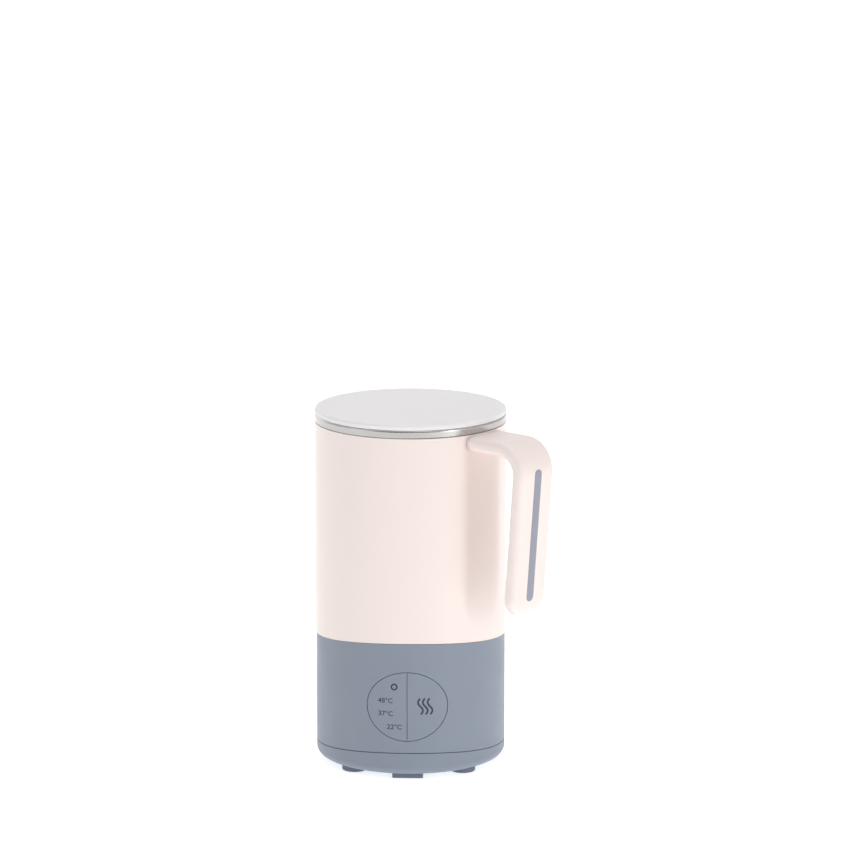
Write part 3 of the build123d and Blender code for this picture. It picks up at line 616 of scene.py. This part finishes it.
def build_ring_symbol(material):
    """Small plain ring, the on and off mark."""
    build = bmesh.new()
    outer = ring_outline(RING_X, RING_Z, RING_OUTER)
    inner = ring_outline(RING_X, RING_Z, RING_INNER)
    prism(build, outer, PRINT_PROUD, inner)
    piece = new_piece("print_ring", build, "button_left", material, smooth=False)
    wrap(piece)


def build_steam_symbol(material):
    """Three wavy rising lines."""
    build = bmesh.new()
    for offset in (-STEAM_GAP, 0.0, STEAM_GAP):
        points = []
        for step in range(STEAM_STEPS + 1):
            t = step / STEAM_STEPS
            sway = STEAM_SWAY * math.sin(2 * math.pi * t) + STEAM_SLANT * (0.5 - t)
            points.append((STEAM_X + offset + sway, STEAM_Z + (t - 0.5) * STEAM_HEIGHT))
        strip_mesh(build, points, STEAM_WIDTH, PRINT_PROUD)
    piece = new_piece("print_steam", build, "button_right", material, smooth=False)
    wrap(piece)


def build_number(text, x, z, material):
    """A temperature, as thin solid letters wrapped on the left button."""
    curve = bpy.data.curves.new("text", "FONT")
    curve.body = text
    curve.align_x, curve.align_y = "CENTER", "CENTER"
    curve.size = 1.0
    curve.offset = 0.012        # makes the strokes a little bolder
    holder = bpy.data.objects.new("text", curve)
    bpy.context.scene.collection.objects.link(holder)
    bpy.context.view_layer.update()
    graph = bpy.context.evaluated_depsgraph_get()
    flat = bpy.data.meshes.new_from_object(holder.evaluated_get(graph))
    bpy.data.objects.remove(holder)
    build = bmesh.new()
    build.from_mesh(flat)
    bmesh.ops.remove_doubles(build, verts=build.verts[:], dist=1e-5)
    xs = [v.co.x for v in build.verts]
    ys = [v.co.y for v in build.verts]
    middle_x, middle_y = (min(xs) + max(xs)) / 2, (min(ys) + max(ys)) / 2
    scale_x, scale_y = NUMBER_WIDTH / (max(xs) - min(xs)), NUMBER_HEIGHT / (max(ys) - min(ys))
    for v in build.verts:
        across, up = (v.co.x - middle_x) * scale_x, (v.co.y - middle_y) * scale_y
        v.co = ((x + across) * MM, PRINT_PROUD * MM, (z + up) * MM)
    out = bmesh.ops.extrude_face_region(build, geom=build.faces[:])
    for v in out["geom"]:
        if isinstance(v, bmesh.types.BMVert):
            v.co.y = PRINT_SUNK * MM
    long_edges = [e for e in build.edges if e.calc_length() > PRINT_EDGE * MM]
    bmesh.ops.subdivide_edges(build, edges=long_edges, cuts=2)
    piece = new_piece("print_" + text[:2], build, "button_left", material, smooth=False)
    wrap(piece)


def build_legends():
    """The marks on the two buttons, all in one ink."""
    ink = moulded("ink", (0.035, 0.045, 0.075), 0.5, grain=0.01, vary=0.15)
    build_ring_symbol(ink)
    build_steam_symbol(ink)
    for text, x, z in NUMBERS:
        build_number(text, x, z, ink)


# ---- finishes for the CAD nodes ------------------------------------------------------------
def srgb(red, green, blue):
    """Linear colour of an 8-bit screen colour."""
    def one(value):
        c = value / 255
        return c / 12.92 if c <= 0.04045 else ((c + 0.055) / 1.055) ** 2.4
    return one(red), one(green), one(blue)


def finish_nodes():
    """Dress every CAD node, and return the two materials that mesh pieces share."""
    base = moulded("base_plastic", srgb(136, 145, 159), 0.46, grain=0.06, specular=0.4)
    feet = rubber("foot_rubber", srgb(112, 120, 134))
    cream = moulded("cream_plastic", srgb(244, 231, 226), 0.34, grain=0.02, specular=0.5,
                    vary=0.006, sheen_vary=0.015)
    dark = moulded("dark_plastic", srgb(60, 60, 70), 0.45, grain=0.05)
    gold = metal("gold", (0.83, 0.62, 0.26), 0.22)
    zinc = metal("zinc_steel", (0.62, 0.62, 0.60), 0.35)
    steel = brushed_up("turned_steel", (0.36, 0.37, 0.41), 0.26)
    magnet = metal("magnet_nickel", (0.60, 0.60, 0.60), 0.2)
    gasket = moulded("gasket_rubber", srgb(26, 24, 30), 0.26, grain=0.01, specular=0.35)
    cast = metal("cast_aluminium", (0.58, 0.58, 0.58), 0.5, 0.05, 300)
    slate = moulded("stirrer_plastic", srgb(66, 68, 78), 0.42, grain=0.04, vary=0.08)
    looks = {
        base: ("base_shell", "bottom_cover", "contact_housing", "button_left", "button_right"),
        feet: ("rubber_feet", "front_pad", "cord_gland"),
        gasket: ("dish_gasket",),
        spun("dish_steel", (0.66, 0.66, 0.69), 0.24, 0.28, 0.002): ("heater_dish",),
        metal("mirror_steel", (0.80, 0.80, 0.82), 0.05, 0.001): ("dish_centre",),
        vessel_steel(): ("inner_vessel",),
        steel: ("stirrer_rod", "motor_shaft", "motor_bearings", "rod_clip"),
        zinc: ("housing_screws", "clamp_screws", "motor_screws", "motor_can", "heater_clamp",
               "jug_ring_screws", "handle_screws", "contact_spring_left", "contact_spring_right",
               "motor_bracket"),
        dark: ("contact_block", "magnet_carrier", "power_components", "tact_switches", "control_chips",
               "motor_end_cap"),
        gold: ("contact_barrels", "contact_pin_left", "contact_pin_right", "jug_contact_pads"),
        cast: ("heating_element", "dish_sensor", "vessel_sensor"),
        metal("winding", (0.62, 0.30, 0.15), 0.35, 0.1, 1500): ("motor_core",),
        moulded("ceramic", (0.75, 0.68, 0.50), 0.3): ("thermal_fuse",),
        magnet: ("drive_magnets", "stirrer_magnets"),
        moulded("circuit_board", (0.02, 0.13, 0.05), 0.35, vary=0.2): ("control_board", "power_board"),
        moulded("led_lens", (0.85, 0.85, 0.78), 0.2): ("indicator_leds",),
        cream: ("jug_shell", "jug_base_ring"),
        frosted("lid_plastic", srgb(252, 249, 250), 0.52, 0.10, 0.15): ("lid_cover",),
        frosted("lid_silicone", srgb(250, 246, 245), 0.48, 0.25, 0.25): ("lid_seal",),
        moulded("socket_plastic", srgb(196, 200, 208), 0.4): ("rod_socket",),
        moulded("bush_plastic", (0.82, 0.82, 0.80), 0.3): ("stirrer_bush",),
    }
    for material, names in looks.items():
        for name in names:
            node = NODES[name]
            node.data.materials.clear()
            node.data.materials.append(material)
    return cream, slate


make_camera()
make_light()
make_floor()
cream, slate = finish_nodes()
build_handle(cream)
build_inlay(moulded("inlay_plastic", srgb(150, 152, 165), 0.5, grain=0.05))
build_stirrer(slate)
build_hub(slate)
build_legends()
